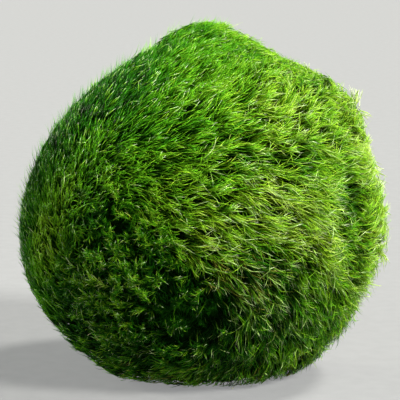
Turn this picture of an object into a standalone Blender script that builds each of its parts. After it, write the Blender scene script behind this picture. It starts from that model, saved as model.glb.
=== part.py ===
"""Marimo moss ball: one ball of radiating green algal filaments, at rest on its
own flat spot.

Metres, +Z up. The origin is the middle of the flat spot's resting plane: the ball
stands on z = 0, and its front is towards -Y. The solid is the ball's outer
envelope, out to the tips of the filaments, so it is one closed body with a flat
face below.
"""

import math

import bmesh
import bpy
import numpy as np
from mathutils import Vector

# Driving dimensions, in metres and degrees.
MEAN_RADIUS = 0.0256       # ball before its swells and hollows
CENTRE = (0.0, 0.0004, 0.0239)  # middle of the ball; its height is above the surface it rests on
LEAN = 9.0                 # the crown leans this far towards the back
SUBDIVISIONS = 5           # fineness of the ball's mesh

# The swells and hollows that make the ball lopsided. Each is a smooth bump on
# the sphere: its bearing in the leaning upright plane (0 is right, 90 is the
# crown), how far it is turned to the back (minus is to the front), its width,
# and its height (minus is a hollow).
SWELLS = (
    # bearing, to back, width, height
    (90, 0, 12, 0.0027),    # blunt peak
    (66, 0, 20, -0.0019),   # slope to the right of the peak
    (112, 0, 9, -0.0003),   # slight dip to the left of the peak
    (136, 0, 36, -0.0030),  # long slanting left flank
    (37, 0, 11, 0.0014),    # right shoulder
    (16, 0, 10, -0.0013),   # dip below the shoulder
    (346, 0, 12, 0.0008),   # fullest point of the right side
    (326, 0, 16, 0.0003),   # lower right side
    (304, 0, 17, 0.0013),   # full lower right
    (246, 0, 10, 0.0006),   # left end of the underside
    (206, 0, 30, 0.0019),   # full lower left
    (150, -55, 30, 0.0005), # front, upper left swell
    (310, -50, 28, 0.0004), # front, lower right swell
    (40, 60, 34, -0.0006),  # back, upper right hollow
    (215, 55, 30, 0.0005),  # back, lower left swell
)

# Soft tufts: the filaments bunch into low mounds all over the ball.
TUFT_HEIGHT = 0.00008      # each wave's height
TUFT_WAVES = 9
TUFT_PITCH = (10.0, 22.0)  # waves around the ball, slowest and fastest
TUFT_SEED = 11


def swell_direction(bearing, to_back):
    """Unit vector of a swell's top, from its bearing and its turn to the back."""
    t, b, lean = (math.radians(a) for a in (bearing, to_back, LEAN))
    right = Vector((1.0, 0.0, 0.0))
    crown = Vector((0.0, math.sin(lean), math.cos(lean)))
    back = Vector((0.0, math.cos(lean), -math.sin(lean)))
    return math.cos(b) * (math.cos(t) * right + math.sin(t) * crown) + math.sin(b) * back


def tuft_waves():
    """Seeded plane waves whose sum over the sphere makes the low mounds."""
    rng = np.random.default_rng(TUFT_SEED)
    waves = []
    for _ in range(TUFT_WAVES):
        v = Vector(rng.normal(size=3)).normalized()
        waves.append((v * rng.uniform(*TUFT_PITCH), rng.uniform(0.0, 2.0 * math.pi)))
    return waves


def radius(direction, waves):
    """Distance from the ball's middle to its outside, along a unit vector."""
    r = MEAN_RADIUS
    for bearing, to_back, width, height in SWELLS:
        spread = math.radians(width) ** 2
        r += height * math.exp((direction.dot(swell_direction(bearing, to_back)) - 1.0) / spread)
    r += TUFT_HEIGHT * sum(math.sin(direction.dot(k) + phase) for k, phase in waves)
    return r


def moss_material():
    mat = bpy.data.materials.new("moss")
    mat.use_nodes = True
    shader = mat.node_tree.nodes["Principled BSDF"]
    shader.inputs["Base Color"].default_value = (0.060, 0.170, 0.012, 1.0)
    shader.inputs["Roughness"].default_value = 0.55
    shader.inputs["Metallic"].default_value = 0.0
    return mat


def moss_ball():
    """The whole ball: a swollen sphere cut flat where it rests."""
    waves = tuft_waves()
    bm = bmesh.new()
    bmesh.ops.create_icosphere(bm, subdivisions=SUBDIVISIONS, radius=1.0)
    for v in bm.verts:
        d = v.co.normalized()
        v.co = d * radius(d, waves) + Vector(CENTRE)
    cut = bmesh.ops.bisect_plane(
        bm,
        geom=bm.verts[:] + bm.edges[:] + bm.faces[:],
        dist=1e-5,
        plane_co=(0.0, 0.0, 0.0),
        plane_no=(0.0, 0.0, 1.0),
        clear_inner=True,
    )
    rim = [e for e in cut["geom_cut"] if isinstance(e, bmesh.types.BMEdge)]
    for v in {v for e in rim for v in e.verts}:
        v.co.z = 0.0
    bmesh.ops.edgeloop_fill(bm, edges=rim)
    bmesh.ops.recalc_face_normals(bm, faces=bm.faces[:])

    mesh = bpy.data.meshes.new("moss_ball")
    bm.to_mesh(mesh)
    bm.free()
    mesh.shade_smooth()
    mesh.set_sharp_from_angle(angle=math.radians(50.0))
    mesh.materials.append(moss_material())
    ball = bpy.data.objects.new("moss_ball", mesh)
    bpy.context.scene.collection.objects.link(ball)
    return ball


for old in list(bpy.data.objects):
    bpy.data.objects.remove(old, do_unlink=True)

moss_ball()
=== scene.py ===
import math

import bpy
import numpy as np
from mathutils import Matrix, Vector


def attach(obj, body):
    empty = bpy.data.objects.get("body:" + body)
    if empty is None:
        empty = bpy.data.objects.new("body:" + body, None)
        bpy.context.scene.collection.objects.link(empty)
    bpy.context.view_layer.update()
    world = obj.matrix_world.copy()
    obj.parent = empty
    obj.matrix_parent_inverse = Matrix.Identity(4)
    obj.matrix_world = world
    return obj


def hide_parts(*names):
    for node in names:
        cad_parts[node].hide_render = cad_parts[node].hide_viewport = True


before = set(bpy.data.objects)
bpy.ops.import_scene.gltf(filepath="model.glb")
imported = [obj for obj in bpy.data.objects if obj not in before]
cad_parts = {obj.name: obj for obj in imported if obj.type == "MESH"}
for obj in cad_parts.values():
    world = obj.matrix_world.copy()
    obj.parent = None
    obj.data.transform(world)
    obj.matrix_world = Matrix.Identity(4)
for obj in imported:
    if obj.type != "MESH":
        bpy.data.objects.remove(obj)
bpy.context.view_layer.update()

MM = 0.001
LEAN = math.radians(9.0)                       # the crown leans back, and the view looks down, by this much
CENTRE = np.array((0.0, 0.0004, 0.0239))       # middle of the ball
RIGHT = np.array((1.0, 0.0, 0.0))
CROWN = np.array((0.0, math.sin(LEAN), math.cos(LEAN)))
BACK = np.array((0.0, math.cos(LEAN), -math.sin(LEAN)))


# ---------------------------------------------------------------- the ball's outside, as in the CAD solid
MEAN_RADIUS = 0.0256
SWELLS = (
    (90, 0, 12, 0.0027), (66, 0, 20, -0.0019), (112, 0, 9, -0.0003), (136, 0, 36, -0.0030),
    (37, 0, 11, 0.0014), (16, 0, 10, -0.0013), (346, 0, 12, 0.0008), (326, 0, 16, 0.0003),
    (304, 0, 17, 0.0013), (246, 0, 10, 0.0006), (206, 0, 30, 0.0019), (150, -55, 30, 0.0005),
    (310, -50, 28, 0.0004), (40, 60, 34, -0.0006), (215, 55, 30, 0.0005),
)


def unit(v):
    return v / np.maximum(np.linalg.norm(v, axis=-1, keepdims=True), 1e-12)


def bearing(theta, to_back=0.0):
    t, b = math.radians(theta), math.radians(to_back)
    return math.cos(b) * (math.cos(t) * RIGHT + math.sin(t) * CROWN) + math.sin(b) * BACK


def outside(d):
    """Distance from the ball's middle to its outside along unit vectors."""
    r = np.full(d.shape[:-1], MEAN_RADIUS)
    for theta, to_back, width, height in SWELLS:
        r = r + height * np.exp((d @ bearing(theta, to_back) - 1.0) / math.radians(width) ** 2)
    return r


# ---------------------------------------------------------------- smooth seeded noise over the ball
def wave_noise(seed, pitch, count=14):
    """A smooth field over directions, about -1 to 1, with bumps 360/pitch degrees apart."""
    rng = np.random.default_rng(seed)
    k = unit(rng.normal(size=(count, 3))) * rng.uniform(0.6, 1.4, (count, 1)) * pitch
    ph = rng.uniform(0, 2 * math.pi, count)
    def field(d):
        return np.sin(d @ k.T + ph).sum(-1) / math.sqrt(count / 2) * 0.6
    return field


def smooth(x, lo, hi):
    t = np.clip((x - lo) / (hi - lo), 0.0, 1.0)
    return t * t * (3 - 2 * t)


broad = wave_noise(3, 5.0)
patch = wave_noise(4, 11.0)
mound = wave_noise(5, 17.0)
fine = wave_noise(6, 34.0)
turn_a = wave_noise(7, 7.0)
turn_b = wave_noise(8, 19.0)
hue = wave_noise(9, 9.0)

WHORL = unit(-0.26 * RIGHT - 0.70 * CROWN - 0.66 * BACK)      # the filaments turn around this point, low on the front
MESSY = unit(-0.38 * RIGHT - 0.53 * CROWN - 0.76 * BACK)      # middle of the short, curly area to the lower left


def region(d):
    """How the growth, and the painted light and shade of the tone, change over the ball: 0 to 1 weights at unit
    directions.
    """
    x, up, back = d @ RIGHT, d @ CROWN, d @ BACK
    psi = np.degrees(np.arccos(np.clip(d @ MESSY, -1, 1)))
    messy = 1 - smooth(psi + 5 * patch(d), 15, 34)
    low = 1 - smooth(up + 0.08 * patch(d), -0.80, -0.30)
    sunny = smooth(0.75 * x + 0.45 * up + 0.10 * broad(d) + 0.06 * patch(d), -0.20, 0.75)
    return x, up, back, messy, low, sunny


def under_side(d):
    """0 to 1 towards the spot that the ball rests on."""
    return smooth(-d[..., 2], 0.72, 0.92)


def velvet(d):
    """0 to 1 on the upper left, where the coat is short, fine and even."""
    return smooth(-0.75 * (d @ RIGHT) + 0.65 * (d @ CROWN) + 0.05 * patch(d), 0.08, 0.50)


def painted_sheen_side(d):
    """0 to 1 on the middle and the right, where more filaments are pale with a painted sheen."""
    return smooth(0.9 * (d @ RIGHT) - 0.25 * (d @ CROWN) + 0.06 * patch(d), -0.25, 0.35)


def spot(d, x, up, lo, hi):
    """1 within lo degrees of a place on the front, given across and up from the middle, and 0 past hi."""
    c = x * RIGHT + up * CROWN - math.sqrt(max(0.0, 1 - x * x - up * up)) * BACK
    return 1 - smooth(np.degrees(np.arccos(np.clip(d @ c, -1, 1))) + 3 * patch(d) + 2 * turn_b(d), lo, hi)


def hollow(d):
    """0 to 1 in the thin-grown hollow low on the front, whose darkness is partly painted shade."""
    return np.maximum.reduce([spot(d, -0.06, -0.57, 8, 19), 0.9 * spot(d, -0.24, -0.68, 5, 14), 0.8 * spot(d, 0.10, -0.84, 3, 11)])


def hollow_shade(d):
    """The hollow's painted shade, which comes in patches between paler tufts; it also sinks the locks there."""
    return hollow(d) * (0.45 + 0.55 * smooth(turn_b(d) + 0.5 * mound(d), -0.5, 0.5))


def crease(d):
    """A fold on the right side, behind a brow of long locks: 0 to 1 where the coat dips."""
    phi = np.degrees(np.arctan2(d @ RIGHT, -(d @ BACK))) + 3.0 * patch(d)
    up = d @ CROWN + 0.04 * turn_b(d)
    deep = smooth(up, -0.28, -0.12) * (1 - smooth(up, 0.08, 0.30))
    faint = smooth(up, -0.75, -0.45) * (1 - smooth(up, 0.45, 0.66)) * smooth(turn_b(d), -0.3, 0.6)
    return smooth(phi, 36, 41) * (1 - smooth(phi, 52, 66)) * np.maximum(0.85 * deep, 0.4 * faint)


def brow(d):
    """0 to 1 on the raised rim in front of the fold."""
    phi = np.degrees(np.arctan2(d @ RIGHT, -(d @ BACK))) + 3.0 * patch(d)
    up = d @ CROWN
    return smooth(phi, 20, 30) * (1 - smooth(phi, 35, 40)) * smooth(up, -0.50, -0.25) * (1 - smooth(up, 0.10, 0.35))


OLIVE = unit(0.25 * RIGHT - 0.42 * CROWN - 0.87 * BACK)       # a patch of older, olive-brown filaments


def olive(d):
    """0 to 1 where the filaments are olive: a patch low on the front, and the underside."""
    spot = np.degrees(np.arccos(np.clip(d @ OLIVE, -1, 1))) + 3 * turn_b(d)
    return np.clip(0.50 * (1 - smooth(spot, 3, 14)) + 0.30 * (1 - smooth(d @ CROWN + 0.06 * patch(d), -0.97, -0.75)), 0, 1)


def toward(d, target):
    """Yaw, from the lie of the coat, that points along a target direction."""
    f = flow(d)
    return np.arctan2((np.cross(d, f) * target).sum(-1), (f * target).sum(-1))


TURNS = (                 # the coat's lie turns by this much around these points
    (unit(0.20 * RIGHT + 0.03 * CROWN - 0.98 * BACK), 17.0, -15.0),
    (unit(-0.32 * RIGHT + 0.24 * CROWN - 0.91 * BACK), 14.0, -22.0),
    (unit(0.60 * RIGHT + 0.10 * CROWN - 0.79 * BACK), 14.0, -8.0),
)


def flow(d):
    """Unit tangent along which the filaments lie at unit directions d."""
    w = d @ WHORL
    away = unit(-(WHORL - w[..., None] * d))
    side = np.cross(d, away)
    psi = np.degrees(np.arccos(np.clip(w, -1, 1)))
    ang = np.clip(-73.0 + 0.82 * (psi - 45.0), -105.0, -28.0) + 7.0 * turn_a(d) + 7.0 * turn_b(d)
    for centre, width, turn in TURNS:
        ang = ang + turn * np.exp((d @ centre - 1.0) / math.radians(width) ** 2)
    a = np.radians(ang)[..., None]
    f = np.cos(a) * away + np.sin(a) * side
    # low on the right side the filaments hang
    droop = 0.55 * smooth(-d[..., 2], -0.1, 0.75) * smooth(d @ RIGHT, 0.35, 0.8)
    down = np.array((0.0, 0.0, -1.0))
    f = f + droop[..., None] * (down - (d @ down)[..., None] * d)
    return unit(f)


# ---------------------------------------------------------------- growing the filaments
STEPS = 9          # fine steps along each filament, thinned to rings afterwards


def grow(d0, depth, length, lift0, lift1, twist, curl, yaw, rng):
    """Paths of filaments: (n, STEPS+1, 3), from roots at directions d0 and a depth under the outside."""
    n = len(d0)
    p = CENTRE + d0 * (outside(d0) - depth)[:, None]
    path = [p]
    for s in range(STEPS):
        u = (s + 0.5) / STEPS
        d = unit(p - CENTRE)
        f = flow(d)
        side = np.cross(d, f)
        a = yaw + twist * u + curl * math.sin(2.2 * math.pi * u)
        t = np.cos(a)[:, None] * f + np.sin(a)[:, None] * side
        lift = lift0 + (lift1 - lift0) * (1 - (1 - u) ** 1.6)
        v = np.cos(lift)[:, None] * t + np.sin(lift)[:, None] * d
        p = p + unit(v) * (length / STEPS)[:, None]
        path.append(p)
    return np.stack(path, 1)


def clamp(path, cap):
    """Keep paths under the outside plus cap, and above the floor."""
    d = unit(path - CENTRE)
    r = np.linalg.norm(path - CENTRE, axis=-1)
    over = r - (outside(d) + cap[:, None])
    r = r - np.where(over > -0.0004, 0.5 * (over + np.sqrt(over ** 2 + 0.0002 ** 2)), 0.0)
    path = CENTRE + d * r[..., None]
    floor = 0.00012 + 0.0005 * (cap - cap.min())[:, None] / max(float(np.ptp(cap)), 1e-9)
    z = path[..., 2]
    low = np.maximum(floor - z, 0.0)
    # what would pass through the floor spreads out along it
    out = path[..., :2] / np.maximum(np.linalg.norm(path[..., :2], axis=-1, keepdims=True), 1e-6)
    path[..., :2] += out * (0.12 * low)[..., None]
    path[..., 2] = np.maximum(z, floor)
    return path


def fibonacci(n, rng, jitter):
    i = np.arange(n) + 0.5
    z = 1 - 2 * i / n
    a = math.pi * (1 + 5 ** 0.5) * i
    r = np.sqrt(1 - z * z)
    d = np.stack([r * np.cos(a), r * np.sin(a), z], 1)
    return unit(d + rng.normal(size=(n, 3)) * jitter)


LOCKS = 4400
PER_LOCK = 18
PLUMES = 560              # feathery tufts of the curly area
PLUME = 32                # filaments in each


def lock_filaments(rng, g, per):
    """Combed locks: filaments that lie along the flow, rooted around unit directions g."""
    m = len(g)
    x, up, back, messy, low, sunny = region(g)
    fold_sink_and_shade = crease(g)
    peak = smooth(g @ bearing(92), 0.93, 0.985)
    apex = smooth(g @ bearing(87.5), 0.9950, 0.9992)
    dip = smooth(g @ bearing(13.5), 0.985, 0.997)
    pit_sink_and_shade = hollow_shade(g)
    fine_coat = velvet(g)
    flank = smooth(x, 0.45, 0.85) * (1 - smooth(np.abs(up), 0.5, 0.8))
    hang = smooth(x, 0.10, 0.45) * smooth(-up, 0.15, 0.50) * (1 - under_side(g))
    left = smooth(-x, 0.25, 0.80) * smooth(up, -0.55, 0.0)
    top = smooth(up, 0.25, 0.8)

    # one guide for each lock
    g_len = (3.5 + 1.9 * sunny * (1 - 0.5 * top) - 1.0 * messy - 0.5 * low * (1 - messy) - 0.4 * left - 0.5 * fine_coat
             + 0.5 * hang - 1.2 * under_side(g))
    g_len = g_len * np.exp(rng.normal(0, 0.16, m)) * MM
    g_yaw = np.radians(rng.normal(0, 1, m) * (11 + 45 * messy - 4 * fine_coat))
    g_twist = np.radians(rng.normal(0, 1, m) * (18 + 25 * messy))
    g_curl = np.radians(rng.normal(0, 1, m) * (10 + 12 * messy))
    g_l0 = np.radians(34 + 26 * messy + rng.normal(0, 5, m))
    g_l1 = np.radians(8 + 22 * messy + 12 * left + 6 * low + 8 * hang + 10 * flank + 36 * apex + 4 * fine_coat + rng.normal(0, 9, m))
    even = np.maximum(spot(g, -0.30, 0.12, 8, 26), spot(g, 0.05, -0.26, 5, 15))
    holes = smooth(fine(g) + 0.50 * messy + 0.35 * rng.normal(0, 1, m), 0.30, 1.1) * (1 - 0.6 * even)
    g_sink = ((1 - 0.62 * fine_coat) * (np.abs(rng.normal(0, 0.44, m) * (1 + 0.4 * hang + 0.4 * flank)) + 0.14 * (1 + mound(g))
              + (0.80 + 0.60 * messy) * holes) + 2.0 * fold_sink_and_shade - 0.30 * brow(g) + 0.75 * messy + 1.0 * pit_sink_and_shade
              - 0.50 + 0.14 * fine_coat - 0.30 * peak - 0.40 * apex + 0.9 * dip - 0.40 * under_side(g)) * MM
    g_tone = rng.normal(0, 1, m)
    g_out = np.abs(rng.normal(0, 0.26, m)) * (1 - 0.4 * fine_coat + 1.1 * hang + 1.2 * flank - 0.7 * under_side(g)) * MM      # how far a lock stands out of the ball
    g_out = g_out + 0.85 * apex * MM
    g_rise = g_len * (0.5 * (np.sin(g_l0) + np.sin(g_l1)) * 0.92)
    g_path = grow(g, g_rise + g_sink, g_len, g_l0, g_l1, g_twist, g_curl, g_yaw, rng)

    # its filaments: most lie within it, some run loose and wavy over the top
    which = np.repeat(np.arange(m), per)
    n = len(which)
    me = messy[which]
    loose = rng.random(n) < 0.20
    d0 = unit(g[which] + rng.normal(size=(n, 3)) * 0.030)
    length = g_len[which] * np.clip(rng.normal(0.92, 0.18, n), 0.45, 1.35) * np.where(loose, 1.18, 1.0)
    lift0 = g_l0[which] + np.radians(rng.normal(0, 8, n))
    lift1 = g_l1[which] + np.radians(rng.normal(0, 9, n) * (1 + me))
    wild = np.where(loose, 2.0, 1.0) * (1 + me)
    yaw = g_yaw[which] + np.radians(rng.normal(0, 7, n)) * wild
    twist = g_twist[which] + np.radians(rng.normal(0, 14, n)) * wild
    curl = g_curl[which] + np.radians(rng.normal(0, 10, n)) * wild
    deep = np.where(loose, 0.06, 1.0) * np.abs(rng.normal(0, 0.50, n)) * (1 - 0.35 * fine_coat)[which]
    sink = g_sink[which] + deep * MM
    rise = length * (0.5 * (np.sin(lift0) + np.sin(lift1)) * 0.92)
    path = grow(d0, rise + sink, length, lift0, lift1, twist, curl, yaw, rng)

    # a lock draws together half-way along, and its ends stay a little apart
    s = np.linspace(0, 1, STEPS + 1)
    hold = (rng.uniform(0.50, 0.95, m) * (1 - 0.5 * messy) * (1 - 0.55 * fine_coat))[which] * np.where(loose, 0.25, 1.0)
    ends = (rng.uniform(0.20, 0.90, m) * (1 - 0.5 * hang) + 0.5 * hang)[which]
    c = hold[:, None] * np.sin(0.5 * math.pi * np.minimum(s / 0.6, 1.0))[None, :] ** 1.5
    c = np.where(s[None, :] > 0.6, hold[:, None] + (hold * ends - hold)[:, None] * (np.maximum(s - 0.6, 0.0) / 0.4)[None, :] ** 1.3, c)
    path = path + c[..., None] * (g_path[which] - path) * 0.9

    # some filaments branch off another one of their lock
    br = rng.random(n) < (0.16 + 0.30 * me)
    idx = np.nonzero(br)[0]
    parent = (idx // per) * per + rng.integers(0, per, len(idx))
    at = rng.integers(4, 7, len(idx))
    start = path[parent, at]
    sd = unit(start - CENTRE)
    depth = outside(sd) - np.linalg.norm(start - CENTRE, axis=1)
    bl = length[idx] * rng.uniform(0.35, 0.6, len(idx))
    sgn = rng.choice((-1.0, 1.0), len(idx))
    path[idx] = grow(
        sd, depth, bl, lift1[idx] + np.radians(rng.uniform(0, 24, len(idx))),
        lift1[idx] + np.radians(rng.uniform(-4, 14, len(idx))), twist[idx] * 0.5,
        curl[idx] * 0.5, yaw[idx] + twist[idx] * 0.6 + sgn * np.radians(rng.uniform(14, 42, len(idx))), rng)
    # filaments that start further along their colour skip part of the painted root shade: those on the upper left, and
    # on the underside, where this is painted light
    t0 = np.maximum(0.30 * fine_coat, 0.34 * under_side(g))[which]
    t0[idx] = 0.45

    bright = rng.random(n) < ((0.10 + 0.18 * painted_sheen_side(g) - 0.05 * fine_coat) * (1 - 0.7 * messy))[which]
    # painted shade: filaments rooted deeper, sunk locks, the fold, the curly area, the hollow, the upper left, low down
    # and the hanging locks are painted darker; the bright filaments and the random spread vary the tone
    shade = ((0.08 * g_tone * (1 - 0.5 * fine_coat))[which] + rng.normal(0, 0.09, n) * (1 - 0.3 * fine_coat)[which] - 0.09 * deep
             - 0.10 * np.maximum(g_sink / MM, 0)[which] + np.where(bright, rng.uniform(0.14, 0.34, n), -0.02)
             - (0.20 * fold_sink_and_shade + 0.37 * messy + 0.38 * pit_sink_and_shade + 0.06 * fine_coat + 0.10 * low + 0.06 * hang)[which])
    width = np.clip(rng.normal(0.108, 0.022, n), 0.06, 0.17) * np.where(loose, 0.85, 1.0) * MM
    width = width * (1 - 0.12 * fine_coat)[which]
    width[idx] *= 0.85
    bend = np.where(loose, 2.0, 0.0) + np.abs(twist) + np.abs(curl)
    return path, width, shade, t0, bend, g_out[which]


def plume_filaments(rng, g, per):
    """Feathery plumes of the curly area: a short stem at unit directions g with branchlets all round it."""
    m = len(g)
    lean_to = unit(CROWN - 0.45 * RIGHT)
    yaw = toward(g, lean_to) + rng.normal(0, 0.9, m)
    length = rng.uniform(2.0, 3.2, m) * MM
    l0, l1 = np.radians(rng.uniform(40, 70, m)), np.radians(rng.uniform(8, 50, m))
    holes = smooth(fine(g) + 0.4 * rng.normal(0, 1, m), 0.2, 0.9)
    pit_sink_and_shade = hollow_shade(g)
    sink = (np.abs(rng.normal(0, 0.75, m)) + 1.4 * holes + 1.0 * pit_sink_and_shade - 0.50 - 0.4 * spot(g, -0.40, -0.50, 6, 15)) * MM
    rise = length * 0.46 * (np.sin(l0) + np.sin(l1))
    stem = grow(g, rise + sink, length, l0, l1, np.radians(rng.normal(0, 30, m)), np.radians(rng.normal(0, 22, m)), yaw, rng)

    which = np.repeat(np.arange(m), per)
    n = len(which)
    at = rng.uniform(0.15, 1.0, n) ** 0.8
    first = np.arange(n) % per < 3                        # the stem itself is a few filaments
    k = at * STEPS
    i0 = np.minimum(k.astype(int), STEPS - 1)
    fr = (k - i0)[:, None]
    base = stem[which, i0] * (1 - fr) + stem[which, i0 + 1] * fr
    tan = unit(stem[which, i0 + 1] - stem[which, i0])
    r = rng.normal(size=(n, 3))
    perp = unit(r - (r * tan).sum(-1, keepdims=True) * tan)
    beta = np.radians(rng.uniform(12, 50, n))[:, None]
    bl = (rng.uniform(0.5, 1.5, n) * (1.15 - 0.40 * at) * MM)[:, None]
    s = np.linspace(0, 1, STEPS + 1)[None, :, None]
    bow = np.radians(rng.normal(0, 75, n))[:, None, None]
    third = np.cross(tan, perp)
    path = base[:, None] + bl[:, None, :] * (
        s * (np.cos(beta) * tan + np.sin(beta) * perp)[:, None]
        + 0.5 * s ** 2 * (0.6 * tan - 0.45 * perp)[:, None] + 0.5 * s ** 2 * bow * third[:, None])
    jig = rng.normal(size=(n, 1, 3)) * 0.00006
    path = np.where(first[:, None, None], stem[which] + jig * (1 + 2 * s), path)
    t0 = np.where(first, 0.0, 0.20 + 0.34 * at)
    bright = rng.random(n) < 0.22
    # painted shade: plumes sunk deeper and those in the hollow are painted darker, and one patch is painted lighter;
    # the bright ones and the random spread vary the tone
    shade = (rng.normal(0, 0.11, m)[which] + rng.normal(0, 0.08, n) - 220 * np.maximum(sink, 0)[which] + 0.28 * spot(g, -0.38, -0.50, 6, 13)[which]
             + np.where(bright, rng.uniform(0.08, 0.32, n), -0.22) - 0.12 * pit_sink_and_shade[which])
    width = np.where(first, 0.100, 0.066) * np.clip(rng.normal(1, 0.16, n), 0.6, 1.4) * MM
    out = np.abs(rng.normal(0, 0.30, m))[which] * MM
    return path, width, shade, t0, np.abs(bow[:, 0, 0]) + 0.2, out


def hair_filaments(rng):
    """Single pale hairs: curls that stray over the coat, and a few frayed sprigs on the right side."""
    g = fibonacci(1500, rng, 0.03)
    messy = region(g)[3]
    g = g[rng.random(len(g)) < 0.07 + 0.13 * messy]
    m = len(g)
    length = rng.uniform(1.2, 3.0, m) * MM
    l0, l1 = np.radians(rng.uniform(10, 50, m)), np.radians(rng.uniform(-20, 30, m))
    rise = length * 0.46 * (np.sin(l0) + np.sin(l1))
    a = grow(g, rise * 0.9 + rng.uniform(-0.15, 0.1, m) * MM, length, l0, l1, np.radians(rng.normal(0, 60, m)),
             np.radians(rng.normal(0, 45, m)), rng.normal(0, 0.7, m), rng)
    tone_a = rng.uniform(0.972, 0.985, m)

    sprigs = ((34, -1, 20, 3.4, 40), (31, -4, 10, 2.6, -10), (16, -1, 12, 3.8, -10), (13, -1, 12, 3.8, -40),
              (9, -2, 12, 3.4, -60), (20, -3, 8, 2.4, 10), (52, -4, 8, 2.2, 60), (345, -6, 8, 2.4, -50))
    dirs, lens, yaws, pales = [], [], [], []
    for theta, back, count, size, turn in sprigs:
        c = bearing(theta, back)
        d = unit(c + rng.normal(size=(count, 3)) * 0.013)
        t = math.radians(theta + turn)
        target = math.cos(t) * RIGHT + math.sin(t) * CROWN
        dirs.append(d)
        lens.append(rng.uniform(0.6, 1.0, count) * size * MM)
        pales.append(np.full(count, 0.60 if 25 < theta < 90 else 0.35))
        yaws.append(toward(d, target) + rng.normal(0, 0.45, count))
    d, ln, yw = np.concatenate(dirs), np.concatenate(lens), np.concatenate(yaws)
    k = len(d)
    l0 = np.radians(rng.uniform(45, 80, k))
    l1 = np.radians(rng.uniform(5, 50, k))
    b = grow(d, np.full(k, 0.5 * MM), ln, l0, l1, np.radians(rng.normal(0, 40, k)), np.radians(rng.normal(0, 35, k)), yw, rng)
    tone_b = np.where(rng.random(k) < np.concatenate(pales), rng.uniform(0.972, 0.985, k), rng.uniform(0.66, 0.80, k))
    path = np.concatenate([a, b])
    tone = np.concatenate([tone_a, tone_b])
    n = len(path)
    width = np.concatenate([np.full(m, 0.062), rng.uniform(0.08, 0.14, k)]) * MM
    out = np.concatenate([np.full(m, 0.5), np.full(k, 2.0)]) * MM
    t0 = np.concatenate([np.full(m, 0.30), np.full(k, 0.62)])
    return path, width, tone, t0, np.full(n, 9.0), out


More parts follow.
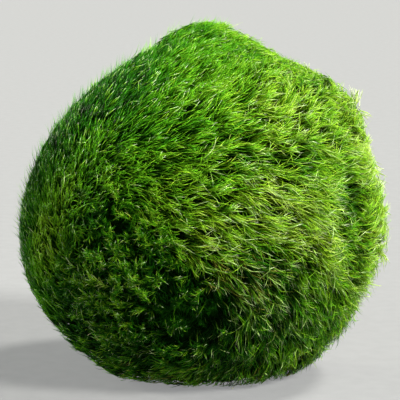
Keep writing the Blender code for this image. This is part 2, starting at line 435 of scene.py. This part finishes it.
def make_filaments(seed):
    """All filaments of the coat: paths, widths, tones, where each starts along its shade, and how bent it is."""
    rng = np.random.default_rng(seed)
    g = fibonacci(LOCKS, rng, 0.022)
    under = smooth(-g[:, 2], 0.91, 0.97)                 # little grows where it rests
    g = g[rng.random(len(g)) > 0.85 * under]
    g = g[rng.random(len(g)) > 0.30 * region(g)[3]]
    p = fibonacci(9000, rng, 0.02)
    p = p[rng.random(len(p)) < region(p)[3] * (1 - 0.65 * hollow(p)) * (1 - smooth(-p[:, 2], 0.62, 0.82))]
    p = p[rng.permutation(len(p))[:PLUMES]]
    a = lock_filaments(rng, g, PER_LOCK)
    b = plume_filaments(rng, p, PLUME)
    c = hair_filaments(rng)
    path, width, shade, t0, bend, out = (np.concatenate(q) for q in zip(a, b, c))
    hair = np.arange(len(path)) >= len(path) - len(c[0])
    buried = (path[..., 2] < 0.00025).mean(1)
    keep = buried < rng.uniform(0.25, 0.75, len(path))
    path, width, shade, t0, bend, out, hair = (q[keep] for q in (path, width, shade, t0, bend, out, hair))
    n = len(path)

    cap = out + np.abs(rng.normal(0, 1, n)) * 0.12 * MM - 0.00004
    tip = unit(path[:, -1] - CENTRE)
    trim = 0.90 * smooth(tip @ bearing(15), 0.970, 0.995) + 0.60 * smooth(tip @ bearing(79), 0.9935, 0.9985)
    cap = cap - np.where(hair, 0.0, trim) * MM
    # a fringe of single tips stands off the ball
    top_left = smooth(-0.6 * (path[:, -1] - CENTRE) @ RIGHT + 0.8 * (path[:, -1] - CENTRE) @ CROWN, 0.004, 0.020)
    fly = (rng.random(n) < 0.09 + 0.10 * top_left) & ~hair
    s = np.linspace(0, 1, STEPS + 1)
    kick = np.where(fly, rng.uniform(0.25, 0.85, n) + np.where(rng.random(n) < 0.3, rng.uniform(0.4, 1.4, n), 0.0) * top_left, 0.0) * MM
    stand = unit(unit(path - CENTRE) + (0.8 * top_left)[:, None, None] * CROWN)
    path = path + (kick[:, None] * s[None, :] ** 3)[..., None] * stand
    cap = cap + 0.8 * kick
    width = np.where(fly, 0.8 * width, width)
    path = clamp(path, cap)

    # tone: 0 deep cool green, 0.5 grass green, 0.8 lime; from 0.88 pale with a painted sheen and a pale tip, from 0.914
    # with a white tip that is a painted glint, from 0.94 olive, from 0.96 bleached
    d_tip = unit(path[:, -1] - CENTRE)
    x, up, back, messy, low, sunny = region(d_tip)
    # painted light and shade in the tone: lighter over the sunny side, a little darker again on its brightest part,
    # darker on the upper-left edge, the crown and low down, lighter on the underside and the left limb, and in many
    # patches lighter and darker for how the lamps light the ball; the hue noise, the olive patch and the random spread
    # are the filaments' own tone
    bright_side = smooth(up, 0.15, 0.65) * smooth(x, 0.15, 0.55)
    belt = np.maximum(spot(d_tip, 0.45, -0.20, 14, 34), spot(d_tip, 0.10, -0.28, 6, 18))
    edge = smooth(-0.75 * x + 0.65 * up, 0.50, 0.92)
    crown = smooth(up, 0.30, 0.70)
    tone = 0.27 + 0.38 * sunny - 0.09 * bright_side + 0.11 * belt - 0.20 * edge - 0.10 * crown + 0.08 * spot(d_tip, -0.12, -0.05, 5, 16) + 0.02 * messy - 0.08 * low + 0.07 * hue(d_tip) + shade
    front_right = spot(d_tip, 0.30, -0.62, 8, 24)
    tone = tone + 0.09 * spot(d_tip, -0.62, 0.22, 5, 17) + 0.05 * spot(d_tip, 0.0, 0.30, 4, 14) + 0.08 * spot(d_tip, -0.13, -0.35, 4, 12)
    tone = tone + 0.08 * spot(d_tip, 0.62, -0.36, 5, 16) + 0.14 * spot(d_tip, 0.36, -0.84, 3, 10) - 0.09 * spot(d_tip, -0.70, -0.51, 4, 14)
    tone = tone - 0.06 * spot(d_tip, 0.52, 0.14, 4, 14) - 0.16 * spot(d_tip, 0.17, 0.95, 3, 10)
    tone = tone + 0.18 * spot(d_tip, -0.80, -0.20, 4, 13) + 0.05 * spot(d_tip, -0.72, -0.05, 10, 24) - 0.06 * spot(d_tip, -0.37, -0.36, 4, 13)
    tone = tone - 0.06 * spot(d_tip, 0.52, 0.14, 3, 11) + 0.08 * spot(d_tip, 0.52, 0.54, 4, 13) + 0.07 * spot(d_tip, 0.19, -0.51, 3, 10)
    tone = tone + 0.05 * spot(d_tip, -0.29, -0.19, 4, 12) + 0.05 * spot(d_tip, 0.36, -0.84, 3, 10)
    tone = tone - 0.32 * spot(d_tip, 0.19, 0.13, 3, 11) - 0.36 * spot(d_tip, 0.36, -0.35, 3, 11) + 0.10 * spot(d_tip, 0.03, -0.69, 3, 9) - 0.07 * spot(d_tip, 0.36, -0.51, 3, 9)
    tone = tone - 0.12 * spot(d_tip, 0.66, 0.06, 4, 13) - 0.08 * spot(d_tip, 0.10, 0.45, 4, 12) - 0.08 * spot(d_tip, -0.62, -0.03, 3, 10) - 0.10 * spot(d_tip, -0.62, -0.51, 3, 10) - 0.10 * spot(d_tip, -0.05, -0.50, 3, 9)
    tone = tone - 0.10 * spot(d_tip, -0.38, -0.35, 4, 12) - 0.06 * spot(d_tip, -0.45, -0.68, 3, 9) + 0.12 * spot(d_tip, -0.12, 0.80, 3, 8)
    tone = tone + 0.16 * under_side(d_tip) + 0.16 * spot(d_tip, 0.56, -0.80, 4, 13)
    tone = tone + 0.12 * spot(d_tip, -0.30, 0.14, 6, 18) + 0.09 * spot(d_tip, -0.76, 0.10, 6, 17) + 0.08 * spot(d_tip, -0.80, -0.25, 5, 15) + 0.14 * spot(d_tip, 0.04, -0.27, 5, 15)
    tone = tone - 0.10 * spot(d_tip, 0.76, 0.20, 6, 20) - 0.14 * spot(d_tip, 0.05, 0.985, 4, 12) - 0.20 * spot(d_tip, 0.28, 0.85, 3, 8)
    tone = tone + 0.13 * spot(d_tip, 0.53, -0.24, 5, 17) + 0.10 * spot(d_tip, 0.19, -0.69, 3, 11) - 0.10 * front_right - 0.06 * spot(d_tip, 0.55, 0.25, 8, 26)
    # painted light: the fringe on the upper left is painted lighter, as if lit from behind
    tone = np.where(fly, tone + 0.34 * smooth(back, -0.40, -0.05) * smooth(-x, -0.1, 0.35) * smooth(up, -0.35, 0.1), tone)
    # the tone may go darker in the hollow's painted shade and in the curly area's painted shade
    tone = np.clip(tone, 0.045 - 0.03 * np.maximum(hollow_shade(d_tip), 0.7 * messy), 0.84)
    roll = rng.random(n)
    shine, fine_coat = painted_sheen_side(d_tip), velvet(d_tip)
    # pale filaments carry a painted sheen, and short white tips a painted glint: more on the middle and right, the
    # crown and the lit lower right, fewer in the hollow's painted shade and on the fringe
    share = (0.008 + 0.130 * shine + 0.05 * belt) * (1 - 0.4 * low) * (1 - 0.7 * fine_coat) * (1 - 0.6 * messy) + 0.11 * front_right + 0.008 * messy
    glint = 0.010 + 0.036 * fine_coat + 0.020 * shine + 0.075 * messy + 0.030 * smooth(up, 0.3, 0.8) + 0.05 * spot(d_tip, -0.12, 0.75, 10, 30)
    dark = hollow_shade(d_tip)
    share, glint = share * (1 - 0.9 * dark), glint * (1 - 0.6 * dark)
    share, glint = np.where(fly, 0.01, share), np.where(fly, 0.002, glint)
    pale_sheen = roll < share
    tone = np.where(pale_sheen, rng.uniform(0.882, 0.904, n), tone)
    painted_glint_tip = (roll > 1 - glint) & ~hair
    tone = np.where(painted_glint_tip, rng.uniform(0.916, 0.933, n), tone)
    width = np.where(pale_sheen, 1.25 * width, np.where(painted_glint_tip, 2.0 * width, width))
    t1 = np.where(painted_glint_tip, 0.91, 1.0)
    tone = np.where(~painted_glint_tip & (roll > share) & (roll < share + 0.45 * olive(d_tip)), rng.uniform(0.946, 0.954, n), tone)
    tone = np.where(hair, shade, tone)
    return path, width, tone, t0, t1, bend


# ---------------------------------------------------------------- meshes
def tube_mesh(name, path, width, tone, t0, t1, rings, rng):
    """One joined mesh of closed three-sided tapering filaments, with a ring of corners at each of the given steps."""
    n = len(path)
    K = len(rings)
    nv = 3 * K + 1
    centre_line = [path[:, k] for k in rings] + [path[:, STEPS]]
    par = [k / STEPS for k in rings] + [1.0]
    side0 = unit(np.cross(path[:, 4] - path[:, 0], unit(path[:, 4] - CENTRE)) + rng.normal(size=(n, 3)) * 0.05)
    verts = np.empty((n, nv, 3))
    spin = rng.uniform(0, 2 * math.pi, n)
    for k in range(K):
        tan = unit(centre_line[k + 1] - (centre_line[k - 1] if k else centre_line[k]))
        a = unit(side0 - (side0 * tan).sum(-1, keepdims=True) * tan)
        b = np.cross(tan, a)
        taper = 0.88 if k == 0 else 1.0 - 0.35 * par[k] ** 2
        for j in range(3):
            th = spin + 2 * math.pi * j / 3
            off = (np.cos(th)[:, None] * a + np.sin(th)[:, None] * b) * (width * 0.5 * taper)[:, None]
            verts[:, 3 * k + j] = centre_line[k] + off
    verts[:, nv - 1] = centre_line[K]
    verts[..., 2] = np.maximum(verts[..., 2], 0.00003)

    faces, uvs = [], []
    du = 0.0024
    us = [-1.5 * du, -0.5 * du, 0.5 * du, 1.5 * du]
    for k in range(K - 1):
        for j in range(3):
            a, b = 3 * k + j, 3 * k + (j + 1) % 3
            c, d = a + 3, b + 3
            u0, u1 = us[j], us[j + 1]
            faces += [(a, b, d), (a, d, c)]
            uvs += [((u0, k), (u1, k), (u1, k + 1)), ((u0, k), (u1, k + 1), (u0, k + 1))]
    for j in range(3):
        a, b = 3 * (K - 1) + j, 3 * (K - 1) + (j + 1) % 3
        u0, u1 = us[j], us[j + 1]
        faces.append((a, b, nv - 1))
        uvs.append(((u0, K - 1), (u1, K - 1), ((u0 + u1) / 2, K)))
    faces.append((0, 2, 1))
    uvs.append(((us[0], 0), (us[2], 0), (us[1], -1)))
    faces = np.array(faces)
    nf = len(faces)

    all_faces = (faces[None] + nv * np.arange(n)[:, None, None]).reshape(-1, 3)
    uv_u = np.array([[c[0] for c in f] for f in uvs])[None] + tone[:, None, None]
    ring = np.array([[c[1] for c in f] for f in uvs])
    tt = np.array(par + [-0.02])
    v = t0[:, None, None] + (t1 - t0)[:, None, None] * tt[ring][None]
    v = 0.03 + 0.94 * np.clip(v, -0.02, 1.0)
    uv = np.stack([uv_u, np.broadcast_to(v, uv_u.shape)], -1).reshape(-1, 2)

    mesh = bpy.data.meshes.new(name)
    mesh.vertices.add(n * nv)
    mesh.vertices.foreach_set("co", verts.reshape(-1).astype(np.float32))
    mesh.loops.add(n * nf * 3)
    mesh.loops.foreach_set("vertex_index", all_faces.reshape(-1).astype(np.int32))
    mesh.polygons.add(n * nf)
    mesh.polygons.foreach_set("loop_start", np.arange(0, n * nf * 3, 3, dtype=np.int32))
    mesh.update(calc_edges=True)
    mesh.polygons.foreach_set("use_smooth", np.ones(n * nf, dtype=bool))
    layer = mesh.uv_layers.new(name="OFBake")
    layer.data.foreach_set("uv", uv.reshape(-1).astype(np.float32))
    mesh.validate()
    obj = bpy.data.objects.new(name, mesh)
    bpy.context.scene.collection.objects.link(obj)
    return obj


# ---------------------------------------------------------------- materials
def ramp(nt, stops, interp="LINEAR"):
    r = nt.nodes.new("ShaderNodeValToRGB")
    r.color_ramp.interpolation = interp
    els = r.color_ramp.elements
    while len(els) < len(stops):
        els.new(0.5)
    for e, (pos, col) in zip(els, stops):
        e.position = pos
        e.color = (*col, 1.0)
    return r


def filament_material():
    """Green filament: root darkened by painted shade, green middle, light tip with a painted glint at the end, by tone
    across and by length along.
    """
    mat = bpy.data.materials.new("moss_filament")
    mat.use_nodes = True
    nt = mat.node_tree
    nt.nodes.clear()
    out = nt.nodes.new("ShaderNodeOutputMaterial")
    sh = nt.nodes.new("ShaderNodeBsdfPrincipled")
    uv = nt.nodes.new("ShaderNodeUVMap")
    uv.uv_map = "OFBake"
    sep = nt.nodes.new("ShaderNodeSeparateXYZ")
    nt.links.new(uv.outputs["UV"], sep.inputs[0])

    body = ramp(nt, (
        (0.00, (0.001, 0.010, 0.0005)), (0.07, (0.004, 0.045, 0.001)), (0.25, (0.031, 0.200, 0.002)), (0.50, (0.135, 0.400, 0.006)),
        (0.75, (0.300, 0.600, 0.006)), (0.86, (0.460, 0.710, 0.025)), (0.88, (0.230, 0.480, 0.025)),
        (0.907, (0.280, 0.520, 0.040)), (0.914, (0.080, 0.280, 0.004)), (0.937, (0.120, 0.340, 0.006)),
        (0.942, (0.080, 0.095, 0.006)), (0.958, (0.110, 0.125, 0.010)), (0.965, (0.440, 0.600, 0.150)),
        (1.00, (0.540, 0.660, 0.220)),
    ))
    tip = ramp(nt, (
        (0.00, (0.004, 0.036, 0.001)), (0.07, (0.013, 0.145, 0.003)), (0.25, (0.106, 0.420, 0.009)), (0.50, (0.330, 0.660, 0.024)),
        (0.75, (0.560, 0.840, 0.050)), (0.86, (0.720, 0.900, 0.240)), (0.88, (0.520, 0.760, 0.210)),
        (0.907, (0.620, 0.830, 0.310)), (0.914, (0.220, 0.520, 0.020)), (0.937, (0.300, 0.600, 0.040)),
        (0.942, (0.260, 0.290, 0.030)), (0.958, (0.340, 0.350, 0.050)), (0.965, (0.660, 0.800, 0.340)),
        (1.00, (0.760, 0.860, 0.440)),
    ))
    # painted glint: the colour of each filament's last stretch, lighter than its tip and near white for tones 0.914 to
    # 0.937
    painted_glint_ramp = ramp(nt, (
        (0.00, (0.010, 0.075, 0.002)), (0.07, (0.036, 0.250, 0.005)), (0.25, (0.140, 0.500, 0.010)), (0.50, (0.380, 0.740, 0.030)),
        (0.75, (0.640, 0.880, 0.110)), (0.86, (0.800, 0.920, 0.360)), (0.88, (0.680, 0.850, 0.450)),
        (0.907, (0.800, 0.900, 0.570)), (0.914, (0.780, 0.960, 0.580)), (0.937, (0.880, 1.000, 0.760)),
        (0.942, (0.420, 0.440, 0.080)), (0.958, (0.500, 0.500, 0.120)), (0.965, (0.780, 0.880, 0.500)),
        (1.00, (0.860, 0.920, 0.600)),
    ))
    def blend(lo, hi, first, second):
        along = nt.nodes.new("ShaderNodeMapRange")
        along.interpolation_type = "SMOOTHSTEP"
        along.inputs["From Min"].default_value = lo
        along.inputs["From Max"].default_value = hi
        nt.links.new(sep.outputs["Y"], along.inputs["Value"])
        m = nt.nodes.new("ShaderNodeMix")
        m.data_type = "RGBA"
        nt.links.new(along.outputs[0], m.inputs[0])
        nt.links.new(first, m.inputs[6])
        nt.links.new(second, m.inputs[7])
        return m.outputs[2]
    for r in (body, tip, painted_glint_ramp):
        nt.links.new(sep.outputs["X"], r.inputs[0])
    colour = blend(0.40, 0.85, body.outputs[0], tip.outputs[0])
    colour = blend(0.74, 0.86, colour, painted_glint_ramp.outputs[0])

    # painted shade: each filament darkens towards its root, to almost black, as the coat over it would shade it
    root = nt.nodes.new("ShaderNodeMapRange")
    root.interpolation_type = "SMOOTHSTEP"
    root.inputs["From Min"].default_value = 0.08
    root.inputs["From Max"].default_value = 0.74
    root.inputs["To Min"].default_value = 0.03
    root.inputs["To Max"].default_value = 1.0
    nt.links.new(sep.outputs["Y"], root.inputs["Value"])

    # cells along the filament, uneven in shade
    scl = nt.nodes.new("ShaderNodeVectorMath")
    scl.operation = "MULTIPLY"
    scl.inputs[1].default_value = (38.0, 11.0, 1.0)
    nt.links.new(uv.outputs["UV"], scl.inputs[0])
    noi = nt.nodes.new("ShaderNodeTexNoise")
    noi.inputs["Scale"].default_value = 1.0
    noi.inputs["Detail"].default_value = 2.0
    nt.links.new(scl.outputs[0], noi.inputs["Vector"])
    amt = nt.nodes.new("ShaderNodeMapRange")
    amt.inputs["From Min"].default_value = 0.3
    amt.inputs["From Max"].default_value = 0.7
    amt.inputs["To Min"].default_value = 0.55
    amt.inputs["To Max"].default_value = 1.35
    nt.links.new(noi.outputs["Fac"], amt.inputs["Value"])
    mul = nt.nodes.new("ShaderNodeMath")
    mul.operation = "MULTIPLY"
    nt.links.new(root.outputs[0], mul.inputs[0])
    nt.links.new(amt.outputs[0], mul.inputs[1])
    col = nt.nodes.new("ShaderNodeVectorMath")
    col.operation = "SCALE"
    nt.links.new(colour, col.inputs[0])
    nt.links.new(mul.outputs[0], col.inputs["Scale"])
    nt.links.new(col.outputs[0], sh.inputs["Base Color"])

    sh.inputs["Roughness"].default_value = 0.30
    sh.inputs["Specular IOR Level"].default_value = 0.08
    sh.inputs["Specular Tint"].default_value = (0.60, 1.0, 0.42, 1.0)
    sh.inputs["Coat Weight"].default_value = 0.015
    sh.inputs["Coat Roughness"].default_value = 0.10

    trans = nt.nodes.new("ShaderNodeBsdfTranslucent")
    nt.links.new(col.outputs[0], trans.inputs["Color"])
    mixs = nt.nodes.new("ShaderNodeMixShader")
    mixs.inputs[0].default_value = 0.26
    nt.links.new(sh.outputs[0], mixs.inputs[1])
    nt.links.new(trans.outputs[0], mixs.inputs[2])
    nt.links.new(mixs.outputs[0], out.inputs[0])
    return mat


def felt_shade_material():
    """The felt between the locks, painted almost black as the shade deep in the coat."""
    mat = bpy.data.materials.new("moss_felt_shaded")
    mat.use_nodes = True
    nt = mat.node_tree
    sh = nt.nodes["Principled BSDF"]
    tc = nt.nodes.new("ShaderNodeTexCoord")
    noi = nt.nodes.new("ShaderNodeTexNoise")
    noi.inputs["Scale"].default_value = 900.0
    noi.inputs["Detail"].default_value = 6.0
    nt.links.new(tc.outputs["Object"], noi.inputs["Vector"])
    r = ramp(nt, ((0.30, (0.0008, 0.0050, 0.0004)), (0.55, (0.003, 0.018, 0.001)), (0.75, (0.010, 0.045, 0.002))))
    nt.links.new(noi.outputs["Fac"], r.inputs[0])
    nt.links.new(r.outputs[0], sh.inputs["Base Color"])
    sh.inputs["Roughness"].default_value = 0.95
    sh.inputs["Specular IOR Level"].default_value = 0.0
    bump = nt.nodes.new("ShaderNodeBump")
    bump.inputs["Strength"].default_value = 0.8
    bump.inputs["Distance"].default_value = 0.0003
    nt.links.new(noi.outputs["Fac"], bump.inputs["Height"])
    nt.links.new(bump.outputs[0], sh.inputs["Normal"])
    return mat


def felt_mesh():
    """The matted body of the ball, well under the tips, rough all over."""
    import bmesh
    bm = bmesh.new()
    bmesh.ops.create_icosphere(bm, subdivisions=6, radius=1.0)
    co = np.array([v.co[:] for v in bm.verts])
    d = unit(co)
    *_, messy, low, sunny = region(d)
    depth = (2.2 + 0.25 * mound(d) + 0.35 * fine(d) + 0.25 * wave_noise(12, 70.0)(d) + 1.1 * messy + 1.2 * crease(d)
             - 1.3 * smooth(-d[:, 2], 0.66, 0.88)) * MM
    p = CENTRE + d * (outside(d) - depth)[:, None]
    p[:, 2] = np.maximum(p[:, 2], 0.0006)
    for v, c in zip(bm.verts, p):
        v.co = c
    mesh = bpy.data.meshes.new("moss_felt_shaded")
    bm.to_mesh(mesh)
    bm.free()
    mesh.shade_smooth()
    obj = bpy.data.objects.new("moss_felt_shaded", mesh)
    bpy.context.scene.collection.objects.link(obj)
    obj.data.materials.append(felt_shade_material())
    return obj


# ---------------------------------------------------------------- build
path, width, tone, t0, t1, bend = make_filaments(21)
rng = np.random.default_rng(77)
order = np.argsort(-bend, kind="stable")                 # the most bent get one more ring of corners
path, width, tone, t0, t1 = (q[order] for q in (path, width, tone, t0, t1))
coat = filament_material()
pieces = [felt_mesh()]
budget = 975000 - 10 * len(path)
n_long = max(0, min(len(path), budget // 6))
print("filaments", len(path), "with three rings", n_long)
MAX_TRIS = 195000
for kind, lo, hi, rings in (("long", 0, n_long, (0, 3, 6)), ("fine", n_long, len(path), (0, 5))):
    each = 6 * len(rings) - 2
    parts = math.ceil((hi - lo) * each / MAX_TRIS)
    for i in range(parts):
        sl = slice(lo + i * (hi - lo) // parts, lo + (i + 1) * (hi - lo) // parts)
        ob = tube_mesh(f"moss_{kind}_filaments_{i + 1}", path[sl], width[sl], tone[sl], t0[sl], t1[sl], rings, rng)
        ob.data.materials.append(coat)
        pieces.append(ob)

for ob in pieces:
    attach(ob, "root")
    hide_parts("moss_ball")

tris = {ob.name: sum(len(p.vertices) - 2 for p in ob.data.polygons) if ob is pieces[0] else len(ob.data.polygons) for ob in pieces}
print("triangles", tris, sum(tris.values()))


# ---------------------------------------------------------------- floor, light, camera
def floor_material():
    mat = bpy.data.materials.new("pale_floor")
    mat.use_nodes = True
    nt = mat.node_tree
    sh = nt.nodes["Principled BSDF"]
    tc = nt.nodes.new("ShaderNodeTexCoord")
    noi = nt.nodes.new("ShaderNodeTexNoise")
    noi.inputs["Scale"].default_value = 400.0
    noi.inputs["Detail"].default_value = 3.0
    nt.links.new(tc.outputs["Object"], noi.inputs["Vector"])
    r = ramp(nt, ((0.35, (0.155, 0.156, 0.158)), (0.65, (0.161, 0.162, 0.164))))
    nt.links.new(noi.outputs["Fac"], r.inputs[0])
    nt.links.new(r.outputs[0], sh.inputs["Base Color"])
    sh.inputs["Roughness"].default_value = 0.9
    sh.inputs["Specular IOR Level"].default_value = 0.0
    # painted light: the floor glows, which lifts the ball's cast shadow on it and lights the ball from below
    nt.links.new(r.outputs[0], sh.inputs["Emission Color"])
    sh.inputs["Emission Strength"].default_value = 1.6
    return mat


floor = bpy.data.meshes.new("floor")
S = 3.0
floor.from_pydata([(-S, -S, 0), (S, -S, 0), (S, S, 0), (-S, S, 0)], [], [(0, 1, 2, 3)])
floor_ob = bpy.data.objects.new("floor", floor)
bpy.context.scene.collection.objects.link(floor_ob)
floor.materials.append(floor_material())

world = bpy.data.worlds.new("world")
bpy.context.scene.world = world
world.use_nodes = True
bg = world.node_tree.nodes["Background"]
lp = world.node_tree.nodes.new("ShaderNodeLightPath")
level = world.node_tree.nodes.new("ShaderNodeMapRange")      # a pale backdrop that lights the ball only softly
level.inputs["To Min"].default_value = 0.13
level.inputs["To Max"].default_value = 0.74
world.node_tree.links.new(lp.outputs["Is Camera Ray"], level.inputs["Value"])
world.node_tree.links.new(level.outputs[0], bg.inputs[1])
tint = world.node_tree.nodes.new("ShaderNodeMix")
tint.data_type = "RGBA"
tint.inputs[6].default_value = (0.97, 1.0, 0.86, 1.0)
tint.inputs[7].default_value = (1.0, 1.0, 0.985, 1.0)
world.node_tree.links.new(lp.outputs["Is Camera Ray"], tint.inputs[0])
world.node_tree.links.new(tint.outputs[2], bg.inputs[0])


def sun(name, direction, strength, angle, colour):
    """A soft light from far away along a direction."""
    lamp = bpy.data.lights.new(name, "SUN")
    lamp.energy = strength
    lamp.angle = math.radians(angle)
    lamp.color = colour
    ob = bpy.data.objects.new(name, lamp)
    ob.rotation_euler = (-Vector(direction)).to_track_quat("-Z", "Y").to_euler()
    bpy.context.scene.collection.objects.link(ob)
    return ob


sun("key", (0.50, 0.20, 0.84), 4.5, 12.0, (1.0, 0.985, 0.92))
sun("front", (0.66, -0.50, 0.56), 6.2, 15.0, (1.0, 0.99, 0.93))
sun("side", (-0.70, -0.50, 0.52), 0.70, 60.0, (0.92, 1.0, 0.90))
sun("rim", (-0.80, 0.60, 0.16), 3.6, 16.0, (1.0, 1.0, 0.80))

DIST = 0.257
view_dir = BACK                                   # the view looks along this, a little down
px = 0.1419 * MM
aim = CENTRE + RIGHT * (-4 * px) + CROWN * (5 * px)
cam_data = bpy.data.cameras.new("camera")
cam_data.sensor_width = 36.0
cam_data.lens = 163.0
cam_data.clip_start = 0.01
cam_data.clip_end = 20.0
cam = bpy.data.objects.new("camera", cam_data)
cam.location = Vector(aim - view_dir * DIST)
cam.rotation_euler = Vector(view_dir).to_track_quat("-Z", "Y").to_euler()
bpy.context.scene.collection.objects.link(cam)
bpy.context.scene.camera = cam
bpy.context.scene.view_settings.view_transform = "Standard"
